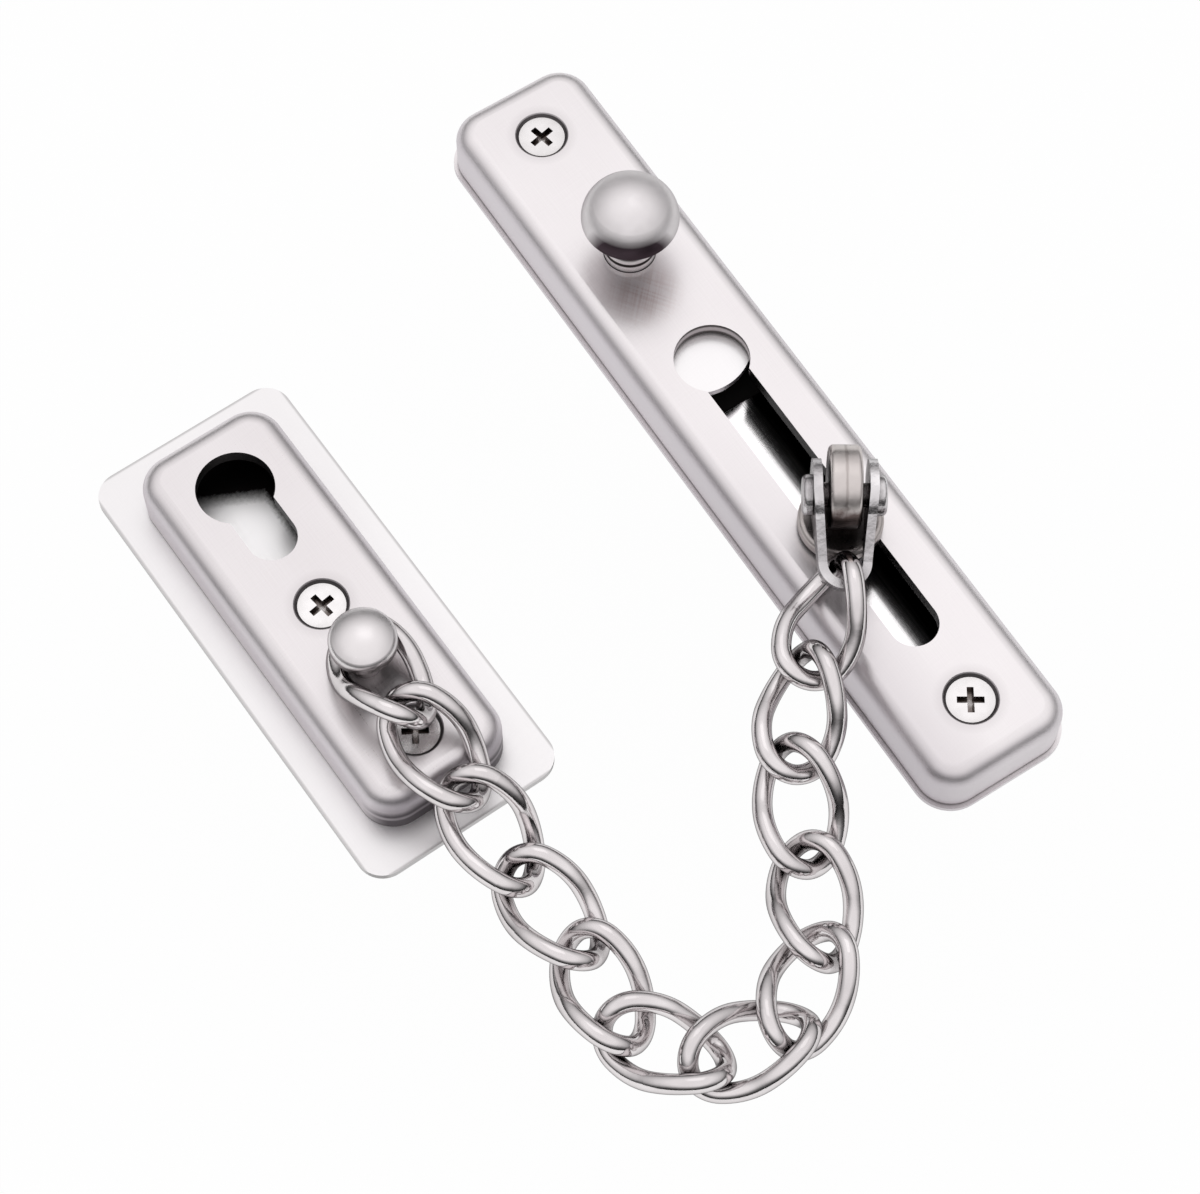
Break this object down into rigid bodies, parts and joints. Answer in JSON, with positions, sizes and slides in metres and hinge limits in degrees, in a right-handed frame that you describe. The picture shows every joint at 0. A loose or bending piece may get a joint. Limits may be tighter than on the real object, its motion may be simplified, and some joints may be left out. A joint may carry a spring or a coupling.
{
  "type": "door chain guard",
  "caption": "Steel door chain guard: slotted track plate with press lock and sliding stud, twisted-link chain and an anchor plate with a parking keyhole.",
  "frame": {"origin": "middle of the track plate's back, midway between its two screw holes", "axes": "+Y along the track towards the lock knob, +Z out of the plate, +X to the right seen from the front"},
  "size_m": [0.0858, 0.1334, 0.022],
  "materials": {
    "plate_steel": "brushed",
    "chain_steel": "polished",
    "screw_steel": "bright",
    "spring_steel": "satin",
    "knob_steel": "satin",
    "fitting_steel": "polished"
  },
  "bodies": {
    "track": {"track_plate": "plate_steel", "track_screws": "screw_steel", "spring_bridge": "plate_steel", "lock_spring": "spring_steel", "slide_guide": "plate_steel"},
    "lock": {"lock_knob": "knob_steel", "lock_plate": "plate_steel"},
    "slider": {"slider_foot": "plate_steel"},
    "swivel": {"slider_stud": "knob_steel"},
    "clevis": {"clevis": "fitting_steel", "clevis_pin": "fitting_steel"},
    "link_01": {"chain_link_01": "chain_steel"},
    "link_02": {"chain_link_02": "chain_steel"},
    "link_03": {"chain_link_03": "chain_steel"},
    "link_04": {"chain_link_04": "chain_steel"},
    "link_05": {"chain_link_05": "chain_steel"},
    "link_06": {"chain_link_06": "chain_steel"},
    "link_07": {"chain_link_07": "chain_steel"},
    "link_08": {"chain_link_08": "chain_steel"},
    "link_09": {"chain_link_09": "chain_steel"},
    "link_10": {"chain_link_10": "chain_steel"},
    "link_11": {"chain_link_11": "chain_steel"},
    "link_12": {"chain_link_12": "chain_steel"},
    "anchor": {"anchor_base": "plate_steel", "anchor_cover": "plate_steel", "chain_stud": "fitting_steel", "anchor_screws": "screw_steel"}
  },
  "joints": [
    {"name": "lock_press", "type": "slide", "parent": "track", "child": "lock", "axis": [0, 0, -1], "range_m": [0, 0.0018], "stiffness_N_per_m": 500, "springref_m": -0.002, "deforming": ["lock_spring"]},
    {"name": "slider_slide", "type": "slide", "parent": "track", "child": "slider", "axis": [0, 1, 0], "range_m": [-0.016, 0.0203]},
    {"name": "slider_swivel", "type": "hinge", "parent": "slider", "child": "swivel", "pos_m": [0, -0.0206, 0], "axis": [0, 0, 1], "range_deg": [-24, 9]},
    {"name": "clevis_hinge", "type": "hinge", "parent": "swivel", "child": "clevis", "pos_m": [0, -0.0206, 0.0163], "axis": [-0.8358, 0.549, 0], "range_deg": [0, 140]},
    {"name": "link_01_hinge", "type": "hinge", "parent": "clevis", "child": "link_01", "pos_m": [-0.00591, -0.02959, 0.01301], "axis": [-0.8358, 0.549, 0], "range_deg": [-2, 25]},
    {"name": "link_02_hinge", "type": "hinge", "parent": "link_01", "child": "link_02", "pos_m": [-0.01631, -0.0362, 0.0101], "axis": [-0.632, 0.6927, 0.3474], "range_deg": [-15, 10]},
    {"name": "link_03_hinge", "type": "hinge", "parent": "link_02", "child": "link_03", "pos_m": [-0.02384, -0.04474, 0.00706], "axis": [0.7247, -0.5053, -0.4685], "range_deg": [-5, 12]},
    {"name": "link_04_hinge", "type": "hinge", "parent": "link_03", "child": "link_04", "pos_m": [-0.02793, -0.05489, 0.00297], "axis": [-0.8101, 0.1524, 0.5661], "range_deg": [-10, 10]},
    {"name": "link_05_hinge", "type": "hinge", "parent": "link_04", "child": "link_05", "pos_m": [-0.03304, -0.06585, 0.00309], "axis": [0.6287, -0.2655, -0.7309], "range_deg": [-25, 15]},
    {"name": "link_06_hinge", "type": "hinge", "parent": "link_05", "child": "link_06", "pos_m": [-0.04299, -0.07183, 0.00316], "axis": [-0.4009, 0.5517, 0.7314], "range_deg": [-5, 25]},
    {"name": "link_07_hinge", "type": "hinge", "parent": "link_06", "child": "link_07", "pos_m": [-0.05413, -0.06818, 0.00316], "axis": [-0.1184, -0.6716, -0.7314], "range_deg": [-25, 5]},
    {"name": "link_08_hinge", "type": "hinge", "parent": "link_07", "child": "link_08", "pos_m": [-0.05924, -0.05764, 0.00316], "axis": [0.5654, 0.3814, 0.7314], "range_deg": [-5, 25]},
    {"name": "link_09_hinge", "type": "hinge", "parent": "link_08", "child": "link_09", "pos_m": [-0.05591, -0.04645, 0.00316], "axis": [-0.6736, 0.1067, -0.7314], "range_deg": [-25, 25]},
    {"name": "link_10_hinge", "type": "hinge", "parent": "link_09", "child": "link_10", "pos_m": [-0.05785, -0.03501, 0.00477], "axis": [0.6875, -0.0032, 0.7262], "range_deg": [-25, 25]},
    {"name": "link_11_hinge", "type": "hinge", "parent": "link_10", "child": "link_11", "pos_m": [-0.0585, -0.02431, 0.01024], "axis": [-0.7015, 0.2546, -0.6657], "range_deg": [-25, 25]},
    {"name": "link_12_hinge", "type": "hinge", "parent": "link_11", "child": "link_12", "pos_m": [-0.05954, -0.01276, 0.01331], "axis": [0.697, -0.1419, 0.7029], "range_deg": [0, 25]},
    {"name": "anchor_turn", "type": "hinge", "parent": "link_12", "child": "anchor", "pos_m": [-0.05956, -0.00469, 0.008], "axis": [0, 0, 1], "range_deg": [-5, 25]}
  ]
}
